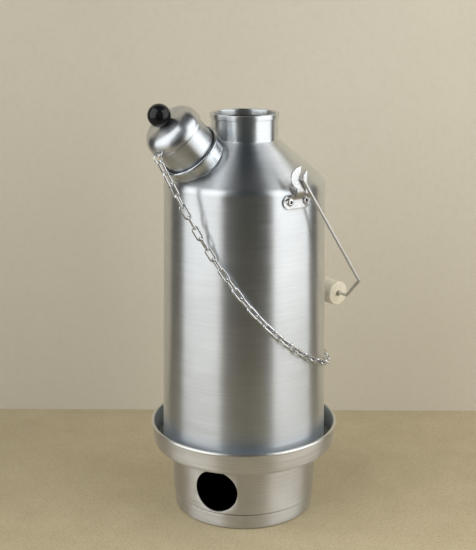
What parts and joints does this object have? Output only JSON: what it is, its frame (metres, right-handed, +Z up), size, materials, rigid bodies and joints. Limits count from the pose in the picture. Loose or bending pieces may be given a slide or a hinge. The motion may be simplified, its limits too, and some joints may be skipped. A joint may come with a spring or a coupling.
{
  "type": "storm kettle",
  "caption": "Tall double-walled camping kettle with a central chimney, tilted whistling cap on a chain, wire bail with a grip, and a separate fire base with a saucer.",
  "frame": {"origin": "centre of the fire base's underside", "axes": "+Z up along the kettle's axis; the spout leans towards -X; the bail's ears are at -Y and +Y"},
  "size_m": [0.1932, 0.17, 0.373],
  "materials": {
    "base_aluminium": "satin spun",
    "shell_aluminium": "fine spun brushing",
    "flue_aluminium": "spun, polished at the rim",
    "collar_aluminium": "polished",
    "cap_aluminium": "fine spun brushing",
    "disc_aluminium": "plain",
    "knob_plastic": "gloss black",
    "screw_steel": "plain",
    "fitting_nickel": "bright plated",
    "rivet_aluminium": "bright",
    "bail_steel": "bright drawn wire",
    "grip_plastic": "cream, matte"
  },
  "bodies": {
    "base": {"fire_base": "base_aluminium"},
    "kettle": {"outer_shell": "shell_aluminium", "flue": "flue_aluminium", "spout_neck": "shell_aluminium", "spout_collar": "collar_aluminium", "chain": "fitting_nickel", "lug_ring": "fitting_nickel", "chain_lug": "fitting_nickel", "lug_rivets": "rivet_aluminium", "ear_front": "fitting_nickel", "ear_rear": "fitting_nickel", "ear_rivets_front": "rivet_aluminium", "ear_rivets_rear": "rivet_aluminium"},
    "cap": {"cap_skirt": "cap_aluminium", "cap_dome": "cap_aluminium", "whistle_discs": "disc_aluminium", "knob": "knob_plastic", "knob_screw": "screw_steel", "knob_washer": "screw_steel", "cap_eye": "fitting_nickel", "cap_ring": "fitting_nickel"},
    "bail": {"bail_wire": "bail_steel"},
    "grip": {"grip": "grip_plastic"}
  },
  "joints": [
    {"name": "kettle_lift", "type": "slide", "parent": "base", "child": "kettle", "axis": [0, 0, 1], "range_m": [0, 0.12]},
    {"name": "cap_pull", "type": "slide", "parent": "kettle", "child": "cap", "axis": [-0.6947, 0, 0.7193], "range_m": [0, 0.045], "deforming": ["chain"]},
    {"name": "bail_swing", "type": "hinge", "parent": "kettle", "child": "bail", "pos_m": [0, 0, 0.3129], "axis": [0, -1, 0], "range_deg": [0, 290]},
    {"name": "grip_spin", "type": "hinge", "parent": "bail", "child": "grip", "pos_m": [0.08314, 0, 0.19223], "axis": [0, 1, 0], "continuous": true}
  ]
}
